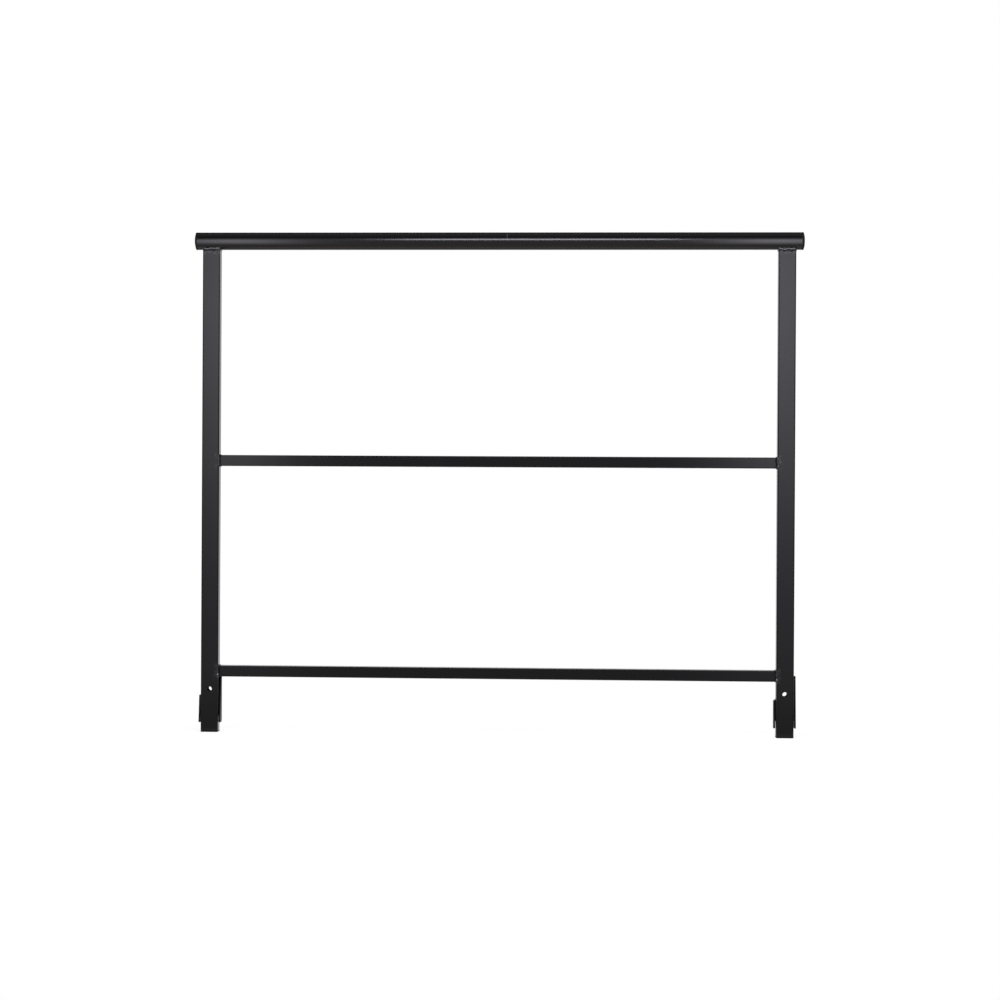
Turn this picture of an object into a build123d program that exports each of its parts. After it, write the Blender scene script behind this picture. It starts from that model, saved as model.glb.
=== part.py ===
from build123d import *
import os

# Stage guardrail: a welded steel frame that bolts to the edge of a stage deck.
# The origin is on the back face of the left foot bracket, on the post's centre line.
# +X runs along the rail to the right, +Z is up and the audience side faces -Y.

# Overall sizes, in millimetres
rail_length = 1219.0  # over both end caps
rail_overhang = 17.0  # from the outer face of a post to the end of the rail
overall_height = 1004.0  # underside of the feet to the top of the rail
mount_height = 58.0  # origin above the underside of the feet

# Round top rail and its end caps
rail_diameter = 35.0
rail_wall = 2.0
rail_cap_rim = 1.2  # straight edge of the cap's head outside the tube
rail_cap_crown = 2.4  # rise of its crowned end
rail_cap_flat = 10.0  # diameter of the flat middle of that end
rail_cap_spigot = 14.0

# Rectangular posts and the plugs in their feet
post_width = 35.0
post_depth = 22.0
post_wall = 2.0
post_corner = 2.5
saddle_gap = 0.2  # fit-up gap between the coped post and the rail
foot_plug_head = 3.0
foot_plug_edge = 1.4
foot_plug_spigot = 16.0

# Square middle and lower bars
bar_size = 22.0
bar_wall = 1.5
bar_corner = 2.0
middle_bar_height = 545.5  # centre of the bar above the underside of the feet
lower_bar_height = 122.5

# Plastic inserts
insert_clearance = 0.15  # between a spigot and the tube's bore, each side
insert_wall = 1.6

# Foot brackets, bent from plate into a channel behind each post
bracket_plate = 3.0
bracket_bend = 2.0  # inside radius of the bends
bracket_gap = 1.5  # between a flange and the side of the post
flange_tip_height = 19.0  # all bracket heights are above the underside of the feet
web_bottom_height = 33.0
short_flange_height = 73.5
tall_flange_height = 122.0  # on the right post, where the tall flange is free
bar_underside_gap = 0.5  # between the left post's tall flange and the lower bar
flange_top_setback = 14.0  # front of the flanges behind the front of the post
flange_tip_setback = 2.0
flange_tip_taper = 7.0  # how far the back of a tip leans forward of the web
flange_tip_round = 3.0
fork_round = 4.0
web_clip_reach = 20.0  # sloped corner of the web, measured across it

# Clamping bolt hole through each post and bracket
bolt_hole_diameter = 10.0
bolt_hole_height = 86.5

# Places worked out from those sizes
foot_z = -mount_height
post_axis_y = -(bracket_plate + post_depth / 2)
post_front_y = -(bracket_plate + post_depth)
rail_radius = rail_diameter / 2
rail_cap_head = rail_cap_crown + rail_cap_rim
rail_axis_z = foot_z + overall_height - rail_radius
post_spacing = rail_length - 2 * rail_overhang - post_width  # centre line to centre line
rail_left_x = -(rail_overhang + post_width / 2)
rail_right_x = rail_left_x + rail_length
bracket_half_width = post_width / 2 + bracket_gap + bracket_plate
channel_half_width = bracket_half_width - bracket_plate
flange_tip_z = foot_z + flange_tip_height
web_bottom_z = foot_z + web_bottom_height
short_flange_z = foot_z + short_flange_height
cut_margin = bracket_plate  # how far cutting tools run past the metal
post_bore_corner = max(post_corner - post_wall, insert_clearance)
lower_bar_underside = lower_bar_height - bar_size / 2
post_places = {"left": 0.0, "right": post_spacing}
tall_flange_heights = {"left": lower_bar_underside - bar_underside_gap, "right": tall_flange_height}

os.makedirs("parts", exist_ok=True)


def write_piece(piece, label):
    """Label a finished piece and write it to its own file."""
    piece.label = label
    export_step(piece, f"parts/{label}.step")


# Top rail: round tube between the end caps
with BuildPart() as top_rail:
    with BuildSketch(Plane.YZ.offset(rail_left_x + rail_cap_head)):
        with Locations((post_axis_y, rail_axis_z)):
            Circle(rail_radius)
            Circle(rail_radius - rail_wall, mode=Mode.SUBTRACT)
    extrude(amount=rail_length - 2 * rail_cap_head)
write_piece(top_rail.part, "top_rail")


def rail_cap(end_x, inward):
    """Plastic cap with a crowned head and a hollow spigot, turned about the rail's axis."""
    flat_radius = rail_cap_flat / 2
    bore_radius = rail_radius - rail_wall
    spigot_radius = bore_radius - insert_clearance
    spigot_end = rail_cap_head + rail_cap_spigot
    end_plane = Plane((end_x, post_axis_y, rail_axis_z), x_dir=(inward, 0, 0), z_dir=(0, -inward, 0))
    with BuildPart() as cap:
        with BuildSketch(end_plane):
            with BuildLine():
                # Two sloped bands: an arc that starts level has a quarter of its rise halfway out
                Polyline(
                    (0, 0),
                    (0, flat_radius),
                    (rail_cap_crown / 4, (flat_radius + rail_radius) / 2),
                    (rail_cap_crown, rail_radius),
                    (rail_cap_head, rail_radius),
                    (rail_cap_head, spigot_radius),
                    (spigot_end, spigot_radius),
                    (spigot_end, spigot_radius - insert_wall),
                    (rail_cap_head, spigot_radius - insert_wall),
                    (rail_cap_head, 0),
                    close=True,
                )
            make_face()
        revolve(axis=Axis(end_plane.origin, end_plane.x_dir))
    return cap.part


write_piece(rail_cap(rail_left_x, 1), "left_rail_cap")
write_piece(rail_cap(rail_right_x, -1), "right_rail_cap")


def post(x):
    """Rectangular tube, coped to the round rail and drilled for the clamping bolt."""
    bottom_z = foot_z + foot_plug_head
    with BuildPart() as tube:
        with BuildSketch(Plane((x, post_axis_y, bottom_z))):
            RectangleRounded(post_width, post_depth, post_corner)
            RectangleRounded(
                post_width - 2 * post_wall,
                post_depth - 2 * post_wall,
                post_bore_corner,
                mode=Mode.SUBTRACT,
            )
        extrude(amount=rail_axis_z - bottom_z)
        with BuildSketch(Plane.YZ.offset(x)):
            with Locations((post_axis_y, rail_axis_z)):
                Circle(rail_radius + saddle_gap)
        extrude(amount=post_width, both=True, mode=Mode.SUBTRACT)
        with Locations(Plane((x, post_front_y, foot_z + bolt_hole_height), z_dir=(0, -1, 0))):
            Hole(bolt_hole_diameter / 2)
    return tube.part


def foot_plug(x):
    """Plastic plug with a rounded head under the post and a hollow spigot inside it."""
    spigot_width = post_width - 2 * (post_wall + insert_clearance)
    spigot_depth = post_depth - 2 * (post_wall + insert_clearance)
    with BuildPart() as plug:
        with BuildSketch(Plane((x, post_axis_y, foot_z))):
            RectangleRounded(post_width, post_depth, post_corner)
        extrude(amount=foot_plug_head)
        fillet(plug.edges().group_by(Axis.Z)[0], foot_plug_edge)
        with BuildSketch(Plane((x, post_axis_y, foot_z + foot_plug_head))):
            RectangleRounded(spigot_width, spigot_depth, post_bore_corner)
            Rectangle(spigot_width - 2 * insert_wall, spigot_depth - 2 * insert_wall, mode=Mode.SUBTRACT)
        extrude(amount=foot_plug_spigot)
    return plug.part


def foot_bracket(x, tall_height):
    """Plate bent into a channel: tapered flanges of two heights beside the post, web behind it."""
    tall_z = foot_z + tall_height
    fork_bottom_z = flange_tip_z - cut_margin
    clip_top_x = web_clip_reach - channel_half_width
    outside_x = bracket_half_width + cut_margin
    with BuildPart() as bracket:
        with BuildSketch(Plane((x, 0, flange_tip_z))):
            with BuildLine():
                FilletPolyline(
                    (-bracket_half_width, post_front_y),
                    (-bracket_half_width, 0),
                    (bracket_half_width, 0),
                    (bracket_half_width, post_front_y),
                    radius=bracket_bend + bracket_plate,
                )
                offset(amount=bracket_plate, side=Side.RIGHT)
            make_face()
        extrude(amount=tall_height - flange_tip_height)

        # Side view: the flanges' slanted front edge and their narrow tips
        with BuildSketch(Plane.YZ.offset(x)):
            with BuildLine():
                Polyline(
                    (post_front_y + flange_tip_setback, flange_tip_z),
                    (-flange_tip_taper, flange_tip_z),
                    (0, web_bottom_z),
                    (0, tall_z),
                    (post_front_y + flange_top_setback, tall_z),
                    close=True,
                )
            side_face = make_face()
            fillet(side_face.vertices().group_by(Axis.Z)[0], flange_tip_round)
        extrude(amount=outside_x, both=True, mode=Mode.INTERSECT)

        # Back view: the fork between the tips and the web's sloped corner
        with BuildSketch(Plane((x, 0, 0), x_dir=(1, 0, 0), z_dir=(0, -1, 0))):
            with BuildLine():
                FilletPolyline(
                    (-channel_half_width, fork_bottom_z),
                    (-channel_half_width, web_bottom_z),
                    (channel_half_width, web_bottom_z),
                    (channel_half_width, fork_bottom_z),
                    radius=fork_round,
                )
                Line((channel_half_width, fork_bottom_z), (-channel_half_width, fork_bottom_z))
            make_face()
            with BuildLine():
                Polyline(
                    (-outside_x, short_flange_z),
                    (-channel_half_width, short_flange_z),
                    (clip_top_x, tall_z),
                    (clip_top_x, tall_z + cut_margin),
                    (-outside_x, tall_z + cut_margin),
                    close=True,
                )
            make_face()
        extrude(amount=post_depth + bracket_plate + cut_margin, both=True, mode=Mode.SUBTRACT)

        with Locations(Plane((x, 0, foot_z + bolt_hole_height), z_dir=(0, 1, 0))):
            Hole(bolt_hole_diameter / 2)
    return bracket.part


for side, x in post_places.items():
    write_piece(post(x), f"{side}_post")
    write_piece(foot_plug(x), f"{side}_foot_plug")
    write_piece(foot_bracket(x, tall_flange_heights[side]), f"{side}_foot_bracket")


def bar(height):
    """Square tube between the posts' inner faces."""
    with BuildPart() as tube:
        with BuildSketch(Plane.YZ.offset(post_width / 2)):
            with Locations((post_axis_y, foot_z + height)):
                RectangleRounded(bar_size, bar_size, bar_corner)
                RectangleRounded(
                    bar_size - 2 * bar_wall,
                    bar_size - 2 * bar_wall,
                    bar_corner - bar_wall,
                    mode=Mode.SUBTRACT,
                )
        extrude(amount=post_spacing - post_width)
    return tube.part


write_piece(bar(middle_bar_height), "middle_bar")
write_piece(bar(lower_bar_height), "lower_bar")
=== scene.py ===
"""Finishes a welded stage guardrail and sets it in a plain white studio."""

import math
import random

import bmesh
import bpy
from bpy.props import FloatProperty, FloatVectorProperty, IntProperty, PointerProperty
from mathutils import Matrix, Vector


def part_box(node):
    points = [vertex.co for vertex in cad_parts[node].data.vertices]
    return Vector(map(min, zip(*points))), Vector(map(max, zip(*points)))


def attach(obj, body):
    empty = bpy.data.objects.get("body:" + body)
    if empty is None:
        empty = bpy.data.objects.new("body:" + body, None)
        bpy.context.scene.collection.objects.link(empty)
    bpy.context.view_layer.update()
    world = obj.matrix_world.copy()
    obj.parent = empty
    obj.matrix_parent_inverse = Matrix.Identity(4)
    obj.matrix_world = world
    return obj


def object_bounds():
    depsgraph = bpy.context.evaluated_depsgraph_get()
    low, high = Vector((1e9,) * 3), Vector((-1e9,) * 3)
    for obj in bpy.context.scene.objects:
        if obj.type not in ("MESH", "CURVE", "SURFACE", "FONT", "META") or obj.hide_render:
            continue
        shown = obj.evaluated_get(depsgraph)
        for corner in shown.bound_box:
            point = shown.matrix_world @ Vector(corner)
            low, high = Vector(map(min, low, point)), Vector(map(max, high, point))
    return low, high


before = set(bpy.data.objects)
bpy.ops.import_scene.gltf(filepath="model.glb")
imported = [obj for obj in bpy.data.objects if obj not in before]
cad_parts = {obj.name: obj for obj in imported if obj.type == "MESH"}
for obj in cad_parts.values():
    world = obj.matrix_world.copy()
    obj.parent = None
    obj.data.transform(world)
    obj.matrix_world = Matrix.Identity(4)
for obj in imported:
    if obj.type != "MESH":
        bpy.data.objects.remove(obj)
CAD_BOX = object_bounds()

bl_info = {
    "name": "Stage Guardrail",
    "version": (1, 0, 0),
    "blender": (4, 5, 0),
    "location": "View3D > Sidebar > Guardrail",
    "description": "Coats, welds and lights a stage guardrail",
    "category": "Object",
}

SIDES = ("left", "right")
RAIL = ("top_rail",)
POSTS = ("left_post", "right_post")
BARS = ("middle_bar", "lower_bar")
BRACKETS = ("left_foot_bracket", "right_foot_bracket")
RAIL_CAPS = ("left_rail_cap", "right_rail_cap")
FOOT_PLUGS = ("left_foot_plug", "right_foot_plug")

# Strengths and scales of the finishes
PEEL_SCALE = {"rail": 420.0, "tube": 420.0, "plate": 520.0, "weld": 900.0}
COAT_BUMP = 0.5
DUST_MATT = 0.8  # roughness that full dust adds
DULL = 0.75  # roughness that a thin or sooty coat adds
PLASTIC_GRAIN = {"Scale": 1300.0}
PLASTIC_BUMP = 0.4
PLASTIC_DUST = {"Patches": 70.0}
PLASTIC_EDGE = {"Reach": 0.0008}
PLASTIC_DRIFT = {"Scale": 40.0, "Amount": 0.1}

# Values at which an effect begins and at which it is full
CORNER_TURN = (0.995, 0.90)  # how far a corner turns the surface away
WEAR_COVER = (0.40, 0.68)
DUST_SLOPE = (0.55, 1.0)  # how far a face looks up
DUST_COVER = (0.30, 0.75)
SCALE_GLINTS_COVER = (0.45, 0.58)
GLINT_CHIP_COVER = (0.30, 0.45)
MARK_LINE = (1.0, 0.25)  # from the line's middle, as a share of its width
MARK_RISE = (0.04, 0.16)  # above the rail's axis, as a share of its radius

# Distances in metres at which a mark begins and at which it is full
MARK_BACK = (0.004, 0.0)  # behind the rail's axis
CUT_END = (-0.0030, -0.0012)  # past the rail's ends
RAIL_TOE_BELOW = (-0.0017, -0.0009)  # above the middle of a rail bead
RAIL_TOE_ABOVE = (0.0023, 0.0013)
BAR_TOE = (-0.0042, -0.0030)  # past the bars' ends
BORE = (-0.0003, -0.0008)  # past the posts' faces
SCALE_GLINTS_BELOW_RAIL = (-0.014, -0.005)  # above the rail's underside
SCALE_GLINTS_PAST_BAR = (0.011, 0.005)  # past the bars' ends
SCALE_GLINTS_ABOUT_BAR = (0.018, 0.011)  # above and below the bars' middles
GLINT_CHIP_REACH = (0.0018, 0.0008)  # from a painted glint chip's middle

# Places and grains of the marks, of the painted glint chips and of the scale with its painted
# glints
GLINT_CHIP_PAST_BAR = 0.0007
GLINT_CHIP_DROP = 0.0066  # below the lower bar's middle
GLINT_CHIP_GRAIN = 500.0
RAIL_TOE_GRAIN = (110.0, 0.004)  # its scale, and how far it moves the line
BAR_TOE_GRAIN = (140.0, 0.006)
SCALE_GLINTS_GRAIN = 270.0
SCALE_GLINTS_SHARE = 0.9  # how strongly the scale and its painted glints show

# Seams
POST_CORNER = 0.0025
BAR_CORNER = 0.002
CORNER_STEPS = 6
SIDE_SINK = 0.35  # how far a rail bead sinks at the sides of a post, as a share of its height
SEAM_INSET = 0.45  # how far a bar bead sinks into the bar, as a share of its thickness
SPATTER_MARGIN = 0.003  # clear of the posts' corners
SPATTER_ONTO_BAR = 0.004
BRACKET_SEED = 20
WEB_TOP_SEAM = (0.003, 0.002)  # from the post's middle, and from its right side
WEB_BOTTOM_MARGIN = 0.005
TAPER_RINGS = 5
TAPER_START = 0.35

# Floor: how far it reaches past the object's box, and how wide its edges run out to white
FLOOR_MARGIN = {"side": 0.25, "front": 0.02, "back": 0.10}
FLOOR_FADE = {"side": 0.20, "front": 0.015, "back": 0.08}
FLOOR_LOW = (CAD_BOX[0].x - FLOOR_MARGIN["side"], CAD_BOX[0].y - FLOOR_MARGIN["front"])
FLOOR_HIGH = (CAD_BOX[1].x + FLOOR_MARGIN["side"], CAD_BOX[1].y + FLOOR_MARGIN["back"])

# Directions in the studio, as parts of a unit vector, where a surface begins and where it is full
BACKDROP = (0.15, 0.45)
BACKDROP_LEVEL = (0.5, 0.25)
SIDE_WALLS = (0.45, 0.8)
END_WALLS = (0.86, 1.0)
UPPER_WALLS = (0.2, 0.6)
CEILING = (0.8, 1.0)
GROUND = (-0.3, -0.8)
OVERHEAD = (0.1, 0.7)

# Light, camera and nodes
WHITE = (1.0, 1.0, 1.0)
LAMP_POWER = 4.0  # watts for each square metre of a lamp of brightness one
SENSOR_WIDTH = 36.0
FAR_CLIP = 100.0
MIX_FIRST, MIX_SECOND, MIX_RESULT = 6, 7, 2  # the mix node's sockets for colours


# Settings


def colour_property(name, default, description):
    """A colour that the sidebar can change."""
    return FloatVectorProperty(
        name=name, description=description, default=default, subtype="COLOR", size=3,
        min=0.0, max=1.0,
    )


def length_property(name, default, description):
    """A length in metres."""
    return FloatProperty(
        name=name, description=description, default=default, min=0.0, unit="LENGTH", precision=5
    )


def share_property(name, default, description):
    """A share from none to all."""
    return FloatProperty(
        name=name, description=description, default=default, min=0.0, max=1.0, subtype="FACTOR"
    )


def index_property(name, default, description):
    """A refractive index, which sets how strongly a surface mirrors."""
    return FloatProperty(name=name, description=description, default=default, min=1.0, max=3.0)


def level_property(name, default, description):
    """A brightness."""
    return FloatProperty(name=name, description=description, default=default, min=0.0)


def angle_property(name, default, description):
    """An angle in radians."""
    return FloatProperty(name=name, description=description, default=default, unit="ROTATION")


def pair_property(name, default, description, unit="NONE"):
    """A value for the left side and one for the right."""
    return FloatVectorProperty(
        name=name, description=description, default=default, size=2, unit=unit, precision=5
    )


class GuardrailFinish(bpy.types.PropertyGroup):
    """Colours and textures of the coat and the plastic."""

    coat_colour: colour_property("Coat", (0.0065, 0.0065, 0.0070), "Black powder coat")
    # Worn coat, and also the colour of the painted glints among the posts' weld scale.
    worn_and_glint_colour: colour_property(
        "Worn coat", (0.055, 0.055, 0.058), "Coat rubbed thin along the edges"
    )
    dust_colour: colour_property("Dust", (0.16, 0.15, 0.14), "Dust that settles on upward faces")
    # Painted glints: the pale bare-metal colour of the chips that stand in for glints at the lower
    # bar's welds.
    glint_chip_colour: colour_property(
        "Bare metal", (0.88, 0.87, 0.85), "Weld metal where the coat has chipped off"
    )
    plastic_colour: colour_property("Plastic", (0.0085, 0.0085, 0.0090), "Caps and plugs")
    rail_roughness: share_property("Rail roughness", 0.20, "Satin gloss of the rail")
    tube_roughness: share_property("Tube roughness", 0.23, "Satin gloss of the posts and bars")
    plate_roughness: share_property("Plate roughness", 0.46, "Satin gloss of the brackets")
    weld_roughness: share_property("Weld roughness", 0.15, "Gloss of the coat on the weld beads")
    plastic_roughness: share_property("Plastic roughness", 0.60, "Sheen of the moulded plastic")
    rail_index: index_property("Rail gloss", 1.58, "Refractive index of the rail's coat")
    tube_index: index_property("Tube gloss", 1.45, "Refractive index of the posts' and bars' coat")
    plate_index: index_property("Plate gloss", 1.36, "Refractive index of the brackets' coat")
    weld_index: index_property("Weld gloss", 1.95, "Refractive index of the weld beads' coat")
    cap_index: index_property("Cap gloss", 1.20, "Refractive index of the rail caps")
    plug_index: index_property("Plug gloss", 1.10, "Refractive index of the foot plugs")
    tube_wear: share_property("Tube wear", 0.20, "How far the tubes' edges are rubbed")
    plate_wear: share_property("Plate wear", 0.15, "How far the brackets' edges are rubbed")
    weld_wear: share_property("Weld wear", 0.50, "How far the weld beads are rubbed")
    plastic_wear: share_property("Plastic wear", 0.10, "How far the plastic's edges are rubbed")
    dust: share_property("Dust cover", 0.05, "How much dust lies on upward faces")
    rail_peel: length_property("Rail peel", 0.0000015, "Height of the ripple in the rail's coat")
    peel_height: length_property("Orange peel", 0.000012, "Height of the ripple in other coats")
    grain_height: length_property("Plastic grain", 0.00005, "Height of the plastic's grain")
    mark_place: length_property(
        "Rail mark", 0.5943, "Where a rubbed line crosses the rail, from the left post"
    )
    mark_width: length_property("Rail mark width", 0.0016, "Width of that line")


class GuardrailWelds(bpy.types.PropertyGroup):
    """Sizes of the weld beads."""

    rail_height: length_property("Rail bead height", 0.0024, "Half height of the bead on a post")
    rail_throw: length_property(
        "Rail bead thickness", 0.0012, "How far that bead stands off the post"
    )
    rail_drops: pair_property(
        "Rail bead drops", (0.0015, 0.0026), "How far the beads lie below their seams", "LENGTH"
    )
    bar_height: length_property("Bar bead width", 0.0022, "Half width of the bead round a bar")
    bar_throw: length_property("Bar bead thickness", 0.0014, "How far that bead stands off the bar")
    bar_shift: length_property(
        "Bar bead shift", 0.0013, "How far the bead round a bar lies over the post"
    )
    bracket_radius: length_property(
        "Bracket bead", 0.0022, "Radius of the beads on the brackets' backs"
    )
    web_rise: length_property(
        "Bracket web", 0.033, "Height of the lower edge of a bracket's back above the feet"
    )
    ripple_pitch: length_property("Ripple pitch", 0.0019, "Distance from ripple to ripple")
    ripple_depth: share_property(
        "Ripple depth", 0.09, "Step from ripple to ripple, as a share of the bead"
    )
    unevenness: share_property("Unevenness", 0.12, "How much the ripples differ")
    sway: length_property("Sway", 0.0005, "How far a bead wanders off its seam")
    spatter_size: length_property("Spatter", 0.0006, "Radius of the largest balls of spatter")
    spatter_reach: length_property("Spatter reach", 0.010, "How far from a seam the spatter lies")
    spatter_count: IntProperty(
        name="Spatter balls", description="Balls on each face beside a seam", default=18, min=0
    )
    seed: IntProperty(
        name="Seed", description="Start of the ripples' variation", default=7, min=0
    )


class GuardrailStage(bpy.types.PropertyGroup):
    """Floor, lamps and camera."""

    floor_colour: colour_property("Floor", (0.93, 0.93, 0.93), "Pale studio floor")
    floor_glow: share_property(
        "Floor glow", 0.75, "White that the floor shows even in the shadows"
    )
    front_colour: colour_property(
        "Front", (0.29, 0.285, 0.30), "The room in front, as gloss mirrors it"
    )
    top_colour: colour_property(
        "Overhead", (0.05, 0.05, 0.05), "The upper walls, as gloss mirrors them"
    )
    ceiling_colour: colour_property(
        "Ceiling", (0.19, 0.19, 0.20), "Straight overhead, as gloss mirrors it"
    )
    side_colour: colour_property(
        "Sides", (0.12, 0.12, 0.12), "The side walls, as gloss mirrors them"
    )
    end_colour: colour_property(
        "Ends", (0.42, 0.42, 0.43), "Straight along the rail, as gloss mirrors it"
    )
    below_colour: colour_property(
        "Below", (0.33, 0.30, 0.28), "The ground in front, as gloss mirrors it"
    )
    overhead_shade: colour_property(
        "Overhead light", (0.3, 0.3, 0.3), "The even light's share from overhead"
    )
    room_light: level_property("Room light", 0.50, "Even light from all round")
    side_light: level_property("Side softboxes", 2.3, "Brightness of the two softboxes")
    strip_light: level_property("Strip", 6.3, "Brightness of the strip lamp above the rail")
    softbox_shares: pair_property(
        "Softbox shares", (0.86, 1.0), "How much of that brightness each softbox has"
    )
    softbox_shifts: pair_property(
        "Softbox shifts", (-0.078, 0.045), "From each post's centre line to its softbox", "LENGTH"
    )
    softbox_distance: length_property(
        "Softbox distance", 0.65, "From the posts' fronts to the softboxes"
    )
    softbox_width: length_property("Softbox width", 0.60, "Width of each softbox")
    softbox_height: length_property(
        "Softbox height", 1.40, "Height of each softbox above the feet"
    )
    softbox_level: length_property(
        "Softbox peak", 0.99, "Height of its brightest level above its foot"
    )
    softbox_low: share_property(
        "Softbox foot", 0.065, "Brightness of its foot, as a share of the peak"
    )
    glow_up: length_property("Glow upwards", 0.21, "How far the glow reaches above its peak")
    glow_down: length_property("Glow downwards", 0.50, "How far the glow reaches below its peak")
    glow_aside: length_property("Glow sideways", 0.128, "How far the glow reaches to the sides")
    strip_distance: length_property(
        "Strip distance", 0.85, "From the posts' fronts to the strip lamp"
    )
    strip_rise: length_property(
        "Strip rise", 0.250, "Height of the strip lamp above the rail's axis"
    )
    strip_shift: length_property(
        "Strip shift", 0.048, "From the rail's middle to the strip lamp's"
    )
    strip_width: length_property("Strip width", 0.675, "Width of the strip lamp")
    strip_height: length_property("Strip height", 0.22, "Height of the strip lamp's face")
    lamp_tint: colour_property("Lamp tint", (0.92, 0.90, 1.0), "Colour of the lamps' light")
    camera_place: FloatVectorProperty(
        name="Camera place", description="Where the camera stands",
        default=(0.7766, -4.0913, 0.4230), size=3, subtype="TRANSLATION",
    )
    camera_yaw: angle_property("Yaw", 0.0477, "Turn to the left")
    camera_pitch: angle_property("Pitch", 0.0029, "Tilt downwards")
    camera_roll: angle_property("Roll", 0.0055, "Turn about the line of sight")
    camera_lens: FloatProperty(
        name="Lens", description="Focal length in millimetres", default=73.49,
        subtype="DISTANCE_CAMERA",
    )


# Places


def middle(name):
    """The middle of a CAD node."""
    low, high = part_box(name)
    return (low + high) / 2


def half_size(name):
    """Half a CAD node's size along X, Y and Z."""
    low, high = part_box(name)
    return (high - low) / 2


def post_spacing():
    """From the left post's centre line to the right post's."""
    return middle("right_post").x - middle("left_post").x


# Shader helpers


def add_node(tree, kind, values=(), **settings):
    """A new node with its settings, and the values of its unlinked inputs."""
    node = tree.nodes.new(kind)
    for name, value in settings.items():
        setattr(node, name, value)
    for name, value in dict(values).items():
        node.inputs[name].default_value = value
    return node


def feed(tree, value, socket):
    """Links another socket to a socket, or sets its plain value."""
    if isinstance(value, bpy.types.NodeSocket):
        tree.links.new(value, socket)
    else:
        socket.default_value = value


def noise(tree, scale, detail=2.0, roughness=0.5):
    """Cloudy values over the surface."""
    node = add_node(tree, "ShaderNodeTexNoise", {"Detail": detail, "Roughness": roughness})
    feed(tree, add_node(tree, "ShaderNodeTexCoord").outputs["Object"], node.inputs["Vector"])
    feed(tree, scale, node.inputs["Scale"])
    return node.outputs["Fac"]


def ramp(tree, value, start, full):
    """A mask that is nought where a value is at its start and one where it is full."""
    node = add_node(
        tree, "ShaderNodeMapRange", {"From Min": start, "From Max": full},
        interpolation_type="SMOOTHSTEP",
    )
    feed(tree, value, node.inputs["Value"])
    return node.outputs["Result"]


def past(tree, value, edge, distances):
    """A mask by how far a value is past an edge."""
    start, full = distances
    return ramp(tree, value, edge + start, edge + full)


def maths(tree, operation, first, *others):
    """Sockets and numbers put together from left to right, or one socket by itself."""
    result = first
    for other in others or (0.0,):
        node = add_node(tree, "ShaderNodeMath", operation=operation)
        feed(tree, result, node.inputs[0])
        feed(tree, other, node.inputs[1])
        result = node.outputs["Value"]
    return result


def apart(tree, value, level):
    """How far a value is from a level, either way."""
    return maths(tree, "ABSOLUTE", maths(tree, "SUBTRACT", value, level))


def mix_colours(tree, share, first, second):
    """Two colours mixed by a mask."""
    node = add_node(tree, "ShaderNodeMix", data_type="RGBA")
    feed(tree, share, node.inputs["Factor"])
    for socket, value in ((MIX_FIRST, first), (MIX_SECOND, second)):
        colour = value if isinstance(value, bpy.types.NodeSocket) else (*value, 1.0)
        feed(tree, colour, node.inputs[socket])
    return node.outputs[MIX_RESULT]


def split_vector(tree, vector):
    """The X, Y and Z of a vector."""
    node = add_node(tree, "ShaderNodeSeparateXYZ")
    feed(tree, vector, node.inputs["Vector"])
    return node.outputs


def place_on(tree):
    """The X, Y and Z of the surface, in the guardrail's own frame."""
    return split_vector(tree, add_node(tree, "ShaderNodeTexCoord").outputs["Object"])


def new_group(title, inputs, output):
    """An empty shader group with number inputs and one number output."""
    tree = bpy.data.node_groups.new(title, "ShaderNodeTree")
    for label, default in inputs.items():
        socket = tree.interface.new_socket(label, in_out="INPUT", socket_type="NodeSocketFloat")
        socket.default_value = default
    tree.interface.new_socket(output, in_out="OUTPUT", socket_type="NodeSocketFloat")
    inside = add_node(tree, "NodeGroupInput").outputs
    return tree, inside, add_node(tree, "NodeGroupOutput").inputs[output]


def peel_group(title):
    """The gentle ripple of a sprayed coat, as a height."""
    tree, inside, height = new_group(title, {"Scale": 420.0}, "Height")
    feed(tree, noise(tree, inside["Scale"], detail=1.0, roughness=0.4), height)
    return tree


def wear_group(title):
    """Where a corner is rubbed, in broken patches."""
    tree, inside, mask = new_group(title, {"Reach": 0.0012, "Breakup": 60.0}, "Mask")
    rounded = add_node(tree, "ShaderNodeBevel", samples=4)
    feed(tree, inside["Reach"], rounded.inputs["Radius"])
    facing = add_node(tree, "ShaderNodeVectorMath", operation="DOT_PRODUCT")
    feed(tree, rounded.outputs["Normal"], facing.inputs[0])
    feed(tree, add_node(tree, "ShaderNodeNewGeometry").outputs["Normal"], facing.inputs[1])
    corner = ramp(tree, facing.outputs["Value"], *CORNER_TURN)
    patches = noise(tree, inside["Breakup"], detail=4.0, roughness=0.6)
    feed(tree, maths(tree, "MULTIPLY", corner, ramp(tree, patches, *WEAR_COVER)), mask)
    return tree


def dust_group(title):
    """Thin and patchy dust on faces that look up."""
    tree, inside, mask = new_group(title, {"Patches": 26.0}, "Mask")
    normal = split_vector(tree, add_node(tree, "ShaderNodeNewGeometry").outputs["Normal"])
    upward = ramp(tree, normal["Z"], *DUST_SLOPE)
    patches = noise(tree, inside["Patches"], detail=5.0, roughness=0.65)
    feed(tree, maths(tree, "MULTIPLY", upward, ramp(tree, patches, *DUST_COVER)), mask)
    return tree


def gloss_group(title):
    """Slow changes of sheen along a sprayed piece, about zero."""
    tree, inside, change = new_group(title, {"Scale": 14.0, "Amount": 0.05}, "Change")
    clouds = noise(tree, inside["Scale"], detail=4.0, roughness=0.6)
    centred = maths(tree, "SUBTRACT", clouds, 0.5)
    feed(tree, maths(tree, "MULTIPLY", centred, inside["Amount"]), change)
    return tree


SHARED_GROUPS = {
    "Orange peel": peel_group,
    "Edge wear": wear_group,
    "Settled dust": dust_group,
    "Gloss drift": gloss_group,
}


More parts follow.
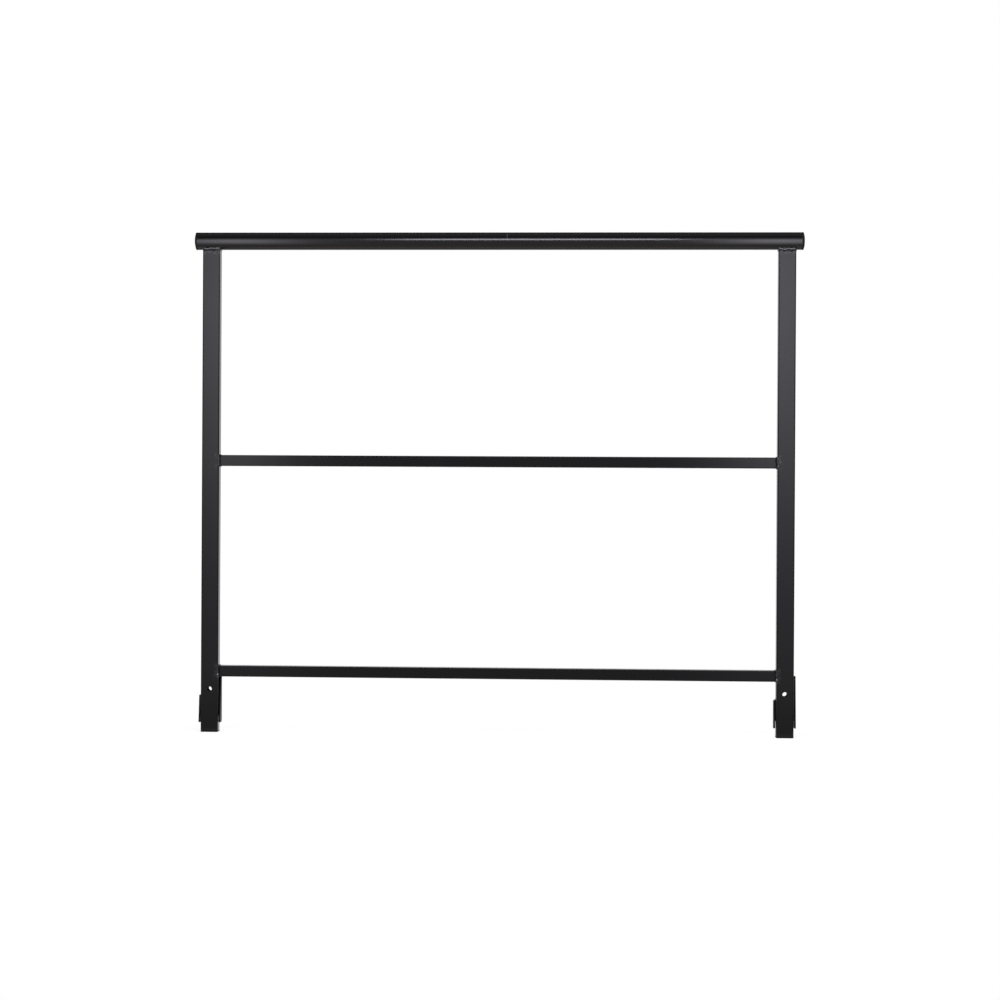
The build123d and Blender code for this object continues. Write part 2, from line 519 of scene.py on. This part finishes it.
def shared(tree, title, values=()):
    """Places a shared group in a material, making it the first time, and gives its output."""
    group = bpy.data.node_groups.get(title) or SHARED_GROUPS[title](title)
    return add_node(tree, "ShaderNodeGroup", values, node_tree=group).outputs[0]


def new_material(name):
    """A material with only its shader and its output."""
    material = bpy.data.materials.new(name)
    material.use_nodes = True
    tree = material.node_tree
    tree.nodes.clear()
    shader = add_node(tree, "ShaderNodeBsdfPrincipled")
    output = add_node(tree, "ShaderNodeOutputMaterial")
    feed(tree, shader.outputs["BSDF"], output.inputs["Surface"])
    return material, tree, shader


def bump(tree, shader, height, distance, strength):
    """Raises a shader's surface by a height."""
    node = add_node(tree, "ShaderNodeBump", {"Distance": distance, "Strength": strength})
    feed(tree, height, node.inputs["Height"])
    feed(tree, node.outputs["Normal"], shader.inputs["Normal"])


# Finishes


def coat_material(name, finish, kind, wear, marks=None, dull_patch=None, glint_chips=None):
    """Black powder coat: satin, faintly rippled, rubbed at the edges and a little dusty on top; it
    can also carry painted glints.
    """
    material, tree, shader = new_material(name)
    shader.inputs["IOR"].default_value = getattr(finish, f"{kind}_index")
    rubbed = maths(tree, "MULTIPLY", shared(tree, "Edge wear"), wear)
    # On the posts the marks are pale grains, partly weld scale and partly painted glints.
    if marks:
        rubbed = maths(tree, "MAXIMUM", rubbed, marks(tree))
    coat = mix_colours(tree, rubbed, finish.coat_colour, finish.worn_and_glint_colour)
    # Painted glints: metallic bare-metal chips placed where glints show on the welds.
    if glint_chips:
        glint_chip_share = glint_chips(tree)
        coat = mix_colours(tree, glint_chip_share, coat, finish.glint_chip_colour)
        feed(tree, glint_chip_share, shader.inputs["Metallic"])
    dusty = maths(tree, "MULTIPLY", shared(tree, "Settled dust"), finish.dust)
    feed(tree, mix_colours(tree, dusty, coat, finish.dust_colour), shader.inputs["Base Color"])
    matt = maths(tree, "MULTIPLY", dusty, DUST_MATT)
    if dull_patch:
        matt = maths(tree, "MAXIMUM", matt, dull_patch(tree))
    sheen = maths(tree, "ADD", shared(tree, "Gloss drift"), getattr(finish, f"{kind}_roughness"))
    feed(tree, maths(tree, "ADD", sheen, matt), shader.inputs["Roughness"])
    ripple = shared(tree, "Orange peel", {"Scale": PEEL_SCALE[kind]})
    height = finish.rail_peel if kind == "rail" else finish.peel_height
    bump(tree, shader, ripple, height, COAT_BUMP)
    return material


def rubbed_line(tree):
    """A fine line rubbed across the upper front of the rail."""
    finish = bpy.context.scene.guardrail_finish
    axis, half = middle("top_rail"), half_size("top_rail")
    place = place_on(tree)
    offset = apart(tree, place["X"], finish.mark_place)
    line = ramp(tree, offset, *(share * finish.mark_width for share in MARK_LINE))
    upper = past(tree, place["Z"], axis.z, [share * half.z for share in MARK_RISE])
    front = past(tree, place["Y"], axis.y, MARK_BACK)
    return maths(tree, "MULTIPLY", line, upper, front)


def cut_ends(tree):
    """The rail's cut ends beside the caps, where the coat is thin and dull."""
    aside = apart(tree, place_on(tree)["X"], middle("top_rail").x)
    ends = past(tree, aside, half_size("top_rail").x, CUT_END)
    return maths(tree, "MULTIPLY", ends, DULL)


def wander(tree, scale, amount):
    """A small uneven offset, about zero."""
    return maths(tree, "MULTIPLY", maths(tree, "SUBTRACT", noise(tree, scale), 0.5), amount)


def rail_toe(tree):
    """A dull, sooty line along the lower edge of the rail's welds."""
    left_drop, right_drop = bpy.context.scene.guardrail_welds.rail_drops
    place = place_on(tree)
    slope = maths(tree, "MULTIPLY", place["X"], (right_drop - left_drop) / post_spacing())
    height = maths(tree, "ADD", place["Z"], slope, wander(tree, *RAIL_TOE_GRAIN))
    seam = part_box("top_rail")[0].z - left_drop
    lower = past(tree, height, seam, RAIL_TOE_BELOW)
    upper = past(tree, height, seam, RAIL_TOE_ABOVE)
    return maths(tree, "MULTIPLY", lower, upper, DULL)


def post_bore(tree):
    """The posts' bores and bolt holes, which the spray hardly reached."""
    post, half = middle("left_post"), half_size("left_post")
    half_spacing = post_spacing() / 2
    place = place_on(tree)
    aside = apart(tree, apart(tree, place["X"], half_spacing), half_spacing)
    across = past(tree, aside, half.x, BORE)
    deep = past(tree, apart(tree, place["Y"], post.y), half.y, BORE)
    return maths(tree, "MULTIPLY", across, deep)


def dull_post(tree):
    """All the dull places on a post."""
    return maths(tree, "MAXIMUM", rail_toe(tree), post_bore(tree))


def bar_toe(tree):
    """A dull, sooty line beside the welds at the bars' ends."""
    aside = apart(tree, place_on(tree)["X"], middle("middle_bar").x)
    aside = maths(tree, "ADD", aside, wander(tree, *BAR_TOE_GRAIN))
    ends = past(tree, aside, half_size("middle_bar").x, BAR_TOE)
    return maths(tree, "MULTIPLY", ends, DULL)


def beside_bars(tree):
    """Where the posts' faces are near a bar's end."""
    place = place_on(tree)
    levels = [ramp(tree, apart(tree, place["Z"], middle(bar).z), *SCALE_GLINTS_ABOUT_BAR) for bar in BARS]
    aside = apart(tree, place["X"], middle("middle_bar").x)
    ends = past(tree, aside, half_size("middle_bar").x, SCALE_GLINTS_PAST_BAR)
    return maths(tree, "MULTIPLY", maths(tree, "MAXIMUM", *levels), ends)


def weld_scale_and_glints(tree):
    """Pale grains on the posts, just below the rail and beside the bars: partly weld scale, partly
    painted glints of spatter.
    """
    # Painted glints: these pale grains also stand in for glints on spatter near the seams.
    below = past(tree, place_on(tree)["Z"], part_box("top_rail")[0].z, SCALE_GLINTS_BELOW_RAIL)
    near = maths(tree, "MAXIMUM", below, beside_bars(tree))
    grains = ramp(tree, noise(tree, SCALE_GLINTS_GRAIN, detail=3.0, roughness=0.6), *SCALE_GLINTS_COVER)
    return maths(tree, "MULTIPLY", near, grains, SCALE_GLINTS_SHARE)


def painted_glint_chips(tree):
    """Painted glints at the lower front of the lower bar's welds, made as small chips of bare
    metal.
    """
    bar, half = middle("lower_bar"), half_size("lower_bar")
    place = place_on(tree)
    aside = apart(tree, apart(tree, place["X"], bar.x), half.x + GLINT_CHIP_PAST_BAR)
    across = ramp(tree, aside, *GLINT_CHIP_REACH)
    upright = ramp(tree, apart(tree, place["Z"], bar.z - GLINT_CHIP_DROP), *GLINT_CHIP_REACH)
    front = past(tree, place["Y"], bar.y, (0.0, -half.y))
    ragged = ramp(tree, noise(tree, GLINT_CHIP_GRAIN), *GLINT_CHIP_COVER)
    return maths(tree, "MULTIPLY", across, upright, ragged, front)


def plastic_material(name, finish, index):
    """Moulded black plastic with a fine grain."""
    material, tree, shader = new_material(name)
    shader.inputs["IOR"].default_value = index
    dusty = maths(tree, "MULTIPLY", shared(tree, "Settled dust", PLASTIC_DUST), finish.dust)
    rubbed = maths(tree, "MULTIPLY", shared(tree, "Edge wear", PLASTIC_EDGE), finish.plastic_wear)
    plastic = mix_colours(tree, rubbed, finish.plastic_colour, finish.worn_and_glint_colour)
    feed(tree, mix_colours(tree, dusty, plastic, finish.dust_colour), shader.inputs["Base Color"])
    drift = shared(tree, "Gloss drift", PLASTIC_DRIFT)
    feed(tree, maths(tree, "ADD", drift, finish.plastic_roughness), shader.inputs["Roughness"])
    grain = shared(tree, "Orange peel", PLASTIC_GRAIN)
    bump(tree, shader, grain, finish.grain_height, PLASTIC_BUMP)
    return material


def dress(names, material):
    """Gives CAD nodes a material."""
    for name in names:
        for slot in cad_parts[name].material_slots:
            slot.material = material


class GUARDRAIL_OT_coat_tubes(bpy.types.Operator):
    """Coat the rail, the posts and the bars"""

    bl_idname = "guardrail.coat_tubes"
    bl_label = "Coat the tubes"

    def execute(self, context):
        finish = context.scene.guardrail_finish
        wear = finish.tube_wear
        dress(RAIL, coat_material("Coated rail", finish, "rail", wear, rubbed_line, cut_ends))
        # The posts' marks are pale grains of weld scale mixed with painted glints.
        dress(POSTS, coat_material("Coated post", finish, "tube", wear, weld_scale_and_glints, dull_post))
        dress(BARS, coat_material("Coated bar", finish, "tube", wear, dull_patch=bar_toe))
        return {"FINISHED"}


class GUARDRAIL_OT_coat_brackets(bpy.types.Operator):
    """Coat the two foot brackets"""

    bl_idname = "guardrail.coat_brackets"
    bl_label = "Coat the brackets"

    def execute(self, context):
        finish = context.scene.guardrail_finish
        dress(BRACKETS, coat_material("Coated plate", finish, "plate", finish.plate_wear))
        return {"FINISHED"}


class GUARDRAIL_OT_finish_plastics(bpy.types.Operator):
    """Give the rail caps and the foot plugs their moulded finish"""

    bl_idname = "guardrail.finish_plastics"
    bl_label = "Finish the plastics"

    def execute(self, context):
        finish = context.scene.guardrail_finish
        dress(RAIL_CAPS, plastic_material("Rail cap plastic", finish, finish.cap_index))
        dress(FOOT_PLUGS, plastic_material("Foot plug plastic", finish, finish.plug_index))
        return {"FINISHED"}


# Weld beads


def round_frame(half_width, half_height, corner, spacing):
    """Points and outward directions round a rounded rectangle, evenly spaced, counterclockwise."""
    bm = bmesh.new()
    bmesh.ops.create_grid(bm, x_segments=1, y_segments=1, size=1.0)
    bmesh.ops.scale(bm, vec=(half_width, half_height, 1.0), verts=bm.verts)
    bmesh.ops.bevel(
        bm, geom=bm.verts, offset=corner, affect="VERTICES", segments=CORNER_STEPS, profile=0.5,
        material=-1,
    )
    loops = next(iter(bm.faces)).loops
    corners = [Vector((loop.vert.co.x, loop.vert.co.y)) for loop in loops]
    bm.free()
    lengths = [(b - a).length for a, b in zip(corners, corners[1:] + corners[:1])]
    count = round(sum(lengths) / spacing)
    step = sum(lengths) / count
    stations, travelled, side = [], 0.0, 0
    for i in range(count):
        while i * step > travelled + lengths[side]:
            travelled += lengths[side]
            side += 1
        start, end = corners[side], corners[(side + 1) % len(corners)]
        along = (end - start).normalized()
        place = start + along * (i * step - travelled)
        stations.append((place, Vector((along.y, -along.x))))
    return stations


class Bead:
    """A rippled weld bead, built ring by ring."""

    sides = 12
    rings_per_ripple = 4
    swings = (4, 7)  # waves along a whole seam
    smallest_ball = 0.4  # as a share of the largest

    def __init__(self, welds, seed):
        self.bm = bmesh.new()
        self.welds = welds
        self.spacing = welds.ripple_pitch / self.rings_per_ripple
        self.draw = random.Random(seed)
        self.rings = []
        self.size = 1.0
        self.waves = [(waves, self.draw.random()) for waves in self.swings]

    def sway(self, turn):
        """How far the bead wanders off its seam; turn runs from 0 to 1 along the seam."""
        swings = [math.sin(2 * math.pi * (waves * turn + start)) for waves, start in self.waves]
        return self.welds.sway * sum(swings)

    def spatter(self, low, high):
        """Balls stuck to the flat face between two corners of a thin box."""
        for _ in range(self.welds.spatter_count):
            place = Vector([self.draw.uniform(*span) for span in zip(low, high)])
            size = self.welds.spatter_size * self.draw.uniform(self.smallest_ball, 1.0)
            bmesh.ops.create_icosphere(
                self.bm, subdivisions=2, radius=size, matrix=Matrix.Translation(place)
            )

    def ring(self, place, outward, heading, throw, height):
        """Adds a ring: throw is its reach outwards and height its reach across the seam."""
        step = len(self.rings) % self.rings_per_ripple
        if step == 0:
            self.size = 1.0 + self.welds.unevenness * self.draw.uniform(-1.0, 1.0)
        swell = self.size * (1.0 - self.welds.ripple_depth * step / self.rings_per_ripple)
        across = heading.cross(outward).normalized()
        axes = Matrix((outward * throw * swell, across * height * self.size, heading))
        made = bmesh.ops.create_circle(
            self.bm, segments=self.sides, radius=1.0,
            matrix=Matrix.Translation(place) @ axes.transposed().to_4x4(),
        )
        # Each edge once, in an order that every run repeats
        edges = [edge for vert in made["verts"] for edge in vert.link_edges]
        self.rings.append(list(dict.fromkeys(edges)))

    def finish(self, name, material, closed):
        """Joins the rings into a mesh object that rides on the frame."""
        pairs = list(zip(self.rings, self.rings[1:]))
        if closed:
            pairs.append((self.rings[-1], self.rings[0]))
        for first, second in pairs:
            bmesh.ops.bridge_loops(self.bm, edges=first + second)
        if not closed:
            for end in (self.rings[0], self.rings[-1]):
                bmesh.ops.edgeloop_fill(self.bm, edges=end)
        bmesh.ops.recalc_face_normals(self.bm, faces=self.bm.faces)
        for face in self.bm.faces:
            face.smooth = True
        mesh = bpy.data.meshes.new(name)
        self.bm.to_mesh(mesh)
        self.bm.free()
        mesh.materials.append(material)
        piece = bpy.data.objects.new(name, mesh)
        bpy.context.scene.collection.objects.link(piece)
        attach(piece, "root")


def weld_material(finish):
    """The coat that all the beads share."""
    name = "Coated weld"
    made = bpy.data.materials.get(name)
    # The beads' coat carries the painted glint chips at the lower bar's welds.
    return made or coat_material(name, finish, "weld", finish.weld_wear, glint_chips=painted_glint_chips)


class GUARDRAIL_OT_weld_rail(bpy.types.Operator):
    """Weld each post to the rail, all round its saddle"""

    bl_idname = "guardrail.weld_rail"
    bl_label = "Weld the rail"

    def execute(self, context):
        welds = context.scene.guardrail_welds
        material = weld_material(context.scene.guardrail_finish)
        rail_low, rail_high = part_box("top_rail")
        radius = (rail_high.z - rail_low.z) / 2
        axis = middle("top_rail")
        for index, (side, front_drop) in enumerate(zip(SIDES, welds.rail_drops)):
            low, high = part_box(f"{side}_post")
            post = middle(f"{side}_post")
            bead = Bead(welds, welds.seed + index)
            half_width, half_depth = (high.x - low.x) / 2, (high.y - low.y) / 2
            seam = round_frame(half_width, half_depth, POST_CORNER, bead.spacing)
            side_drop = welds.rail_height * SIDE_SINK
            for i, (place, out) in enumerate(seam):
                front = abs(out.y)
                drop = front_drop * front + side_drop * (1.0 - front) - bead.sway(i / len(seam))
                saddle = axis.z - math.sqrt(radius**2 - place.y**2)
                spot = Vector((post.x + place.x, post.y + place.y, saddle - drop))
                outward, heading = Vector((out.x, out.y, 0.0)), Vector((-out.y, out.x, 0.0))
                bead.ring(spot, outward, heading, welds.rail_throw, welds.rail_height)
            top = axis.z - radius
            for face in (low.y, high.y):
                bead.spatter(
                    (low.x + SPATTER_MARGIN, face, top - welds.spatter_reach),
                    (high.x - SPATTER_MARGIN, face, top),
                )
            bead.finish(f"{side}_rail_weld", material, closed=True)
        return {"FINISHED"}


class GUARDRAIL_OT_weld_bars(bpy.types.Operator):
    """Weld both ends of the middle and the lower bar to the posts"""

    bl_idname = "guardrail.weld_bars"
    bl_label = "Weld the bars"

    def execute(self, context):
        welds = context.scene.guardrail_welds
        material = weld_material(context.scene.guardrail_finish)
        seed = welds.seed + len(SIDES)
        inset = welds.bar_throw * SEAM_INSET
        for bar in BARS:
            low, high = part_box(bar)
            centre = (low + high) / 2
            half = (high.z - low.z) / 2
            for side, x, inward in (("left", low.x, 1.0), ("right", high.x, -1.0)):
                seed += 1
                bead = Bead(welds, seed)
                seam = round_frame(half - inset, half, BAR_CORNER, bead.spacing)
                for i, (place, out) in enumerate(seam):
                    shift = inward * welds.bar_shift * abs(out.x) - bead.sway(i / len(seam))
                    spot = Vector((x - shift, centre.y + place.x, centre.z + place.y))
                    outward, heading = Vector((0.0, out.x, out.y)), Vector((0.0, -out.y, out.x))
                    bead.ring(spot, outward, heading, welds.bar_throw, welds.bar_height)
                for face in (low.y, high.y):
                    bead.spatter(
                        (x - inward * welds.spatter_reach, face, low.z),
                        (x + inward * SPATTER_ONTO_BAR, face, high.z),
                    )
                bead.finish(f"{bar}_{side}_weld", material, closed=True)
        return {"FINISHED"}


class GUARDRAIL_OT_weld_brackets(bpy.types.Operator):
    """Weld each bracket's web to the back of its post, along the web's top and bottom edges"""

    bl_idname = "guardrail.weld_brackets"
    bl_label = "Weld the brackets"

    def execute(self, context):
        welds = context.scene.guardrail_welds
        material = weld_material(context.scene.guardrail_finish)
        outward, heading = Vector((0.0, 1.0, 0.0)), Vector((1.0, 0.0, 0.0))
        web_bottom = CAD_BOX[0].z + welds.web_rise
        seed = welds.seed + BRACKET_SEED
        for side in SIDES:
            web_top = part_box(f"{side}_foot_bracket")[1].z
            low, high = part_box(f"{side}_post")
            post = middle(f"{side}_post")
            seams = (
                ("top", post.x + WEB_TOP_SEAM[0], high.x - WEB_TOP_SEAM[1], web_top),
                ("bottom", low.x + WEB_BOTTOM_MARGIN, high.x - WEB_BOTTOM_MARGIN, web_bottom),
            )
            for label, start, end, z in seams:
                seed += 1
                bead = Bead(welds, seed)
                count = round((end - start) / bead.spacing)
                for i in range(count + 1):
                    rise = (1.0 - TAPER_START) * min(i, count - i) / TAPER_RINGS
                    size = welds.bracket_radius * min(1.0, TAPER_START + rise)
                    spot = Vector((start + (end - start) * i / count, high.y, z))
                    bead.ring(spot, outward, heading, size, size)
                bead.finish(f"{side}_bracket_{label}_weld", material, closed=False)
        return {"FINISHED"}


# Stage


def area_lamp(name, place, width, height, brightness, tint):
    """A rectangular lamp that faces the guardrail's front squarely."""
    lamp = bpy.data.lights.new(name, "AREA")
    lamp.shape = "RECTANGLE"
    lamp.size, lamp.size_y = width, height
    lamp.energy = brightness * width * height * LAMP_POWER
    lamp.color = tint
    thing = bpy.data.objects.new(name, lamp)
    thing.location = place
    thing.rotation_euler = (math.pi / 2, 0.0, 0.0)
    thing.visible_camera = False
    bpy.context.scene.collection.objects.link(thing)
    return lamp


def bell(tree, value, reach):
    """A bell curve that falls away from nought."""
    share = maths(tree, "DIVIDE", value, reach)
    return maths(tree, "EXPONENT", maths(tree, "MULTIPLY", share, share, -1.0))


def hot_spot(lamp, stage):
    """Makes a lamp brightest at one level of its face, fading to its sides, top and foot."""
    lamp.use_nodes = True
    tree = lamp.node_tree
    tree.nodes.clear()
    face = split_vector(tree, add_node(tree, "ShaderNodeNewGeometry").outputs["Parametric"])
    aside = maths(tree, "SUBTRACT", face["X"], 0.5)
    rise = maths(tree, "SUBTRACT", face["Y"], stage.softbox_level / lamp.size_y)
    above = bell(tree, maths(tree, "MAXIMUM", rise, 0.0), stage.glow_up / lamp.size_y)
    below = bell(tree, maths(tree, "MINIMUM", rise, 0.0), stage.glow_down / lamp.size_y)
    peak = maths(tree, "MULTIPLY", above, below, 1.0 - stage.softbox_low)
    upright = maths(tree, "ADD", peak, stage.softbox_low)
    glow = add_node(tree, "ShaderNodeEmission")
    fall = maths(tree, "MULTIPLY", upright, bell(tree, aside, stage.glow_aside / lamp.size))
    feed(tree, fall, glow.inputs["Strength"])
    output = add_node(tree, "ShaderNodeOutputLight")
    feed(tree, glow.outputs["Emission"], output.inputs["Surface"])


def seen_share(tree):
    """One for rays from the camera, gloss and clear surfaces, nought for lighting rays."""
    path = add_node(tree, "ShaderNodeLightPath").outputs
    rays = ("Is Camera Ray", "Is Glossy Ray", "Is Transmission Ray")
    return maths(tree, "MAXIMUM", *(path[ray] for ray in rays))


def floor_material(stage):
    """Pale floor that keeps shadows near the object and runs out to plain white."""
    material = bpy.data.materials.new("Pale floor")
    material.use_nodes = True
    tree = material.node_tree
    tree.nodes.clear()
    matt = add_node(tree, "ShaderNodeBsdfDiffuse", {"Color": (*stage.floor_colour, 1.0)})
    glow = add_node(tree, "ShaderNodeEmission")
    seen = seen_share(tree)
    feed(tree, maths(tree, "MULTIPLY", seen, stage.floor_glow), glow.inputs["Strength"])
    lit = add_node(tree, "ShaderNodeAddShader")
    feed(tree, matt.outputs["BSDF"], lit.inputs[0])
    feed(tree, glow.outputs["Emission"], lit.inputs[1])
    white = add_node(tree, "ShaderNodeEmission", {"Strength": 1.0})
    place = place_on(tree)
    edges = (
        past(tree, place["X"], FLOOR_LOW[0], (FLOOR_FADE["side"], 0.0)),
        past(tree, place["X"], FLOOR_HIGH[0], (-FLOOR_FADE["side"], 0.0)),
        past(tree, place["Y"], FLOOR_LOW[1], (FLOOR_FADE["front"], 0.0)),
        past(tree, place["Y"], FLOOR_HIGH[1], (-FLOOR_FADE["back"], 0.0)),
    )
    far = maths(tree, "MAXIMUM", *edges)
    mixed = add_node(tree, "ShaderNodeMixShader")
    feed(tree, maths(tree, "MULTIPLY", far, seen), mixed.inputs["Fac"])
    feed(tree, lit.outputs["Shader"], mixed.inputs[1])
    feed(tree, white.outputs["Emission"], mixed.inputs[2])
    output = add_node(tree, "ShaderNodeOutputMaterial")
    feed(tree, mixed.outputs["Shader"], output.inputs["Surface"])
    return material


def studio_world(stage):
    """White behind the object, dim towards the camera and overhead, even light for matt faces."""
    world = bpy.data.worlds.new("Studio")
    bpy.context.scene.world = world
    world.use_nodes = True
    tree = world.node_tree
    tree.nodes.clear()
    direction = split_vector(tree, add_node(tree, "ShaderNodeTexCoord").outputs["Generated"])
    height = direction["Z"]
    behind = ramp(tree, direction["Y"], *BACKDROP)
    level = ramp(tree, maths(tree, "ABSOLUTE", height), *BACKDROP_LEVEL)
    backdrop = maths(tree, "MULTIPLY", behind, level)
    camera_ray = add_node(tree, "ShaderNodeLightPath").outputs["Is Camera Ray"]
    backdrop = maths(tree, "MAXIMUM", backdrop, camera_ray)
    aside = maths(tree, "ABSOLUTE", direction["X"])
    room = mix_colours(tree, ramp(tree, aside, *SIDE_WALLS), stage.front_colour, stage.side_colour)
    room = mix_colours(tree, ramp(tree, aside, *END_WALLS), room, stage.end_colour)
    room = mix_colours(tree, ramp(tree, height, *UPPER_WALLS), room, stage.top_colour)
    room = mix_colours(tree, ramp(tree, height, *CEILING), room, stage.ceiling_colour)
    room = mix_colours(tree, ramp(tree, height, *GROUND), room, stage.below_colour)
    seen = add_node(tree, "ShaderNodeBackground", {"Strength": 1.0})
    feed(tree, mix_colours(tree, backdrop, room, WHITE), seen.inputs["Color"])
    even = add_node(tree, "ShaderNodeBackground", {"Strength": stage.room_light})
    shade = mix_colours(tree, ramp(tree, height, *OVERHEAD), WHITE, stage.overhead_shade)
    feed(tree, shade, even.inputs["Color"])
    mixed = add_node(tree, "ShaderNodeMixShader")
    feed(tree, seen_share(tree), mixed.inputs["Fac"])
    feed(tree, even.outputs["Background"], mixed.inputs[1])
    feed(tree, seen.outputs["Background"], mixed.inputs[2])
    output = add_node(tree, "ShaderNodeOutputWorld")
    feed(tree, mixed.outputs["Shader"], output.inputs["Surface"])


def studio_floor(stage):
    """The sheet of floor under the object."""
    mesh = bpy.data.meshes.new("floor")
    bm = bmesh.new()
    bmesh.ops.create_grid(bm, x_segments=1, y_segments=1, size=1.0)
    half = [(high - low) / 2 for low, high in zip(FLOOR_LOW, FLOOR_HIGH)]
    centre = [(high + low) / 2 for low, high in zip(FLOOR_LOW, FLOOR_HIGH)]
    bmesh.ops.scale(bm, vec=(*half, 1.0), verts=bm.verts)
    bmesh.ops.translate(bm, vec=(*centre, CAD_BOX[0].z), verts=bm.verts)
    bm.to_mesh(mesh)
    bm.free()
    mesh.materials.append(floor_material(stage))
    floor = bpy.data.objects.new("floor", mesh)
    bpy.context.scene.collection.objects.link(floor)


def studio_lamps(stage):
    """A softbox in front of each post, and a strip lamp in front of and above the rail."""
    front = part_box("left_post")[0].y
    width, height = stage.softbox_width, stage.softbox_height
    for side, shift, share in zip(SIDES, stage.softbox_shifts, stage.softbox_shares):
        x = middle(f"{side}_post").x + shift
        place = (x, front - stage.softbox_distance, CAD_BOX[0].z + height / 2)
        brightness = stage.side_light * share
        softbox = area_lamp(f"{side} softbox", place, width, height, brightness, stage.lamp_tint)
        hot_spot(softbox, stage)
    rail = middle("top_rail")
    place = (rail.x + stage.strip_shift, front - stage.strip_distance, rail.z + stage.strip_rise)
    width, height = stage.strip_width, stage.strip_height
    area_lamp("strip lamp", place, width, height, stage.strip_light, stage.lamp_tint)


def studio_camera(stage):
    """The camera at the photograph's place."""
    lens = bpy.data.cameras.new("Camera")
    lens.sensor_width = SENSOR_WIDTH
    lens.lens = stage.camera_lens
    lens.clip_end = FAR_CLIP
    camera = bpy.data.objects.new("Camera", lens)
    yaw, pitch, roll = stage.camera_yaw, stage.camera_pitch, stage.camera_roll
    level = math.cos(pitch)
    ahead = Vector((-math.sin(yaw) * level, math.cos(yaw) * level, -math.sin(pitch)))
    right = ahead.cross(Vector((0.0, 0.0, 1.0))).normalized()
    up = right.cross(ahead)
    leaned_right = right * math.cos(roll) + up * math.sin(roll)
    leaned_up = up * math.cos(roll) - right * math.sin(roll)
    turn = Matrix((leaned_right, leaned_up, -ahead)).transposed().to_4x4()
    camera.matrix_world = Matrix.Translation(stage.camera_place) @ turn
    bpy.context.scene.collection.objects.link(camera)
    bpy.context.scene.camera = camera


class GUARDRAIL_OT_set_stage(bpy.types.Operator):
    """Set the floor, the lamps, the white surroundings and the camera"""

    bl_idname = "guardrail.set_stage"
    bl_label = "Set the stage"

    def execute(self, context):
        stage = context.scene.guardrail_stage
        studio_floor(stage)
        studio_world(stage)
        studio_lamps(stage)
        studio_camera(stage)
        context.scene.view_settings.view_transform = "Standard"
        return {"FINISHED"}


class GUARDRAIL_PT_sidebar(bpy.types.Panel):
    """Lists the guardrail's settings and steps"""

    bl_idname = "GUARDRAIL_PT_sidebar"
    bl_label = "Stage Guardrail"
    bl_space_type = "VIEW_3D"
    bl_region_type = "UI"
    bl_category = "Guardrail"

    def draw(self, context):
        for settings in GROUPS:
            box = self.layout.box()
            box.label(text=settings.title())
            group = getattr(context.scene, f"guardrail_{settings}")
            for name in group.__annotations__:
                box.prop(group, name)
        for step in STEPS:
            self.layout.operator(step.bl_idname)


GROUPS = {"finish": GuardrailFinish, "welds": GuardrailWelds, "stage": GuardrailStage}
STEPS = (
    GUARDRAIL_OT_coat_tubes,
    GUARDRAIL_OT_coat_brackets,
    GUARDRAIL_OT_finish_plastics,
    GUARDRAIL_OT_weld_rail,
    GUARDRAIL_OT_weld_bars,
    GUARDRAIL_OT_weld_brackets,
    GUARDRAIL_OT_set_stage,
)
CLASSES = (*GROUPS.values(), *STEPS, GUARDRAIL_PT_sidebar)


def register():
    """Adds the classes, and the settings to the scene."""
    for cls in CLASSES:
        bpy.utils.register_class(cls)
    for name, group in GROUPS.items():
        setattr(bpy.types.Scene, f"guardrail_{name}", PointerProperty(type=group))


def unregister():
    """Takes the settings and the classes away again."""
    for name in GROUPS:
        delattr(bpy.types.Scene, f"guardrail_{name}")
    for cls in reversed(CLASSES):
        bpy.utils.unregister_class(cls)


def main():
    """Runs every step in order."""
    register()
    bpy.ops.guardrail.coat_tubes()
    bpy.ops.guardrail.coat_brackets()
    bpy.ops.guardrail.finish_plastics()
    bpy.ops.guardrail.weld_rail()
    bpy.ops.guardrail.weld_bars()
    bpy.ops.guardrail.weld_brackets()
    bpy.ops.guardrail.set_stage()


if __name__ == "__main__":
    main()
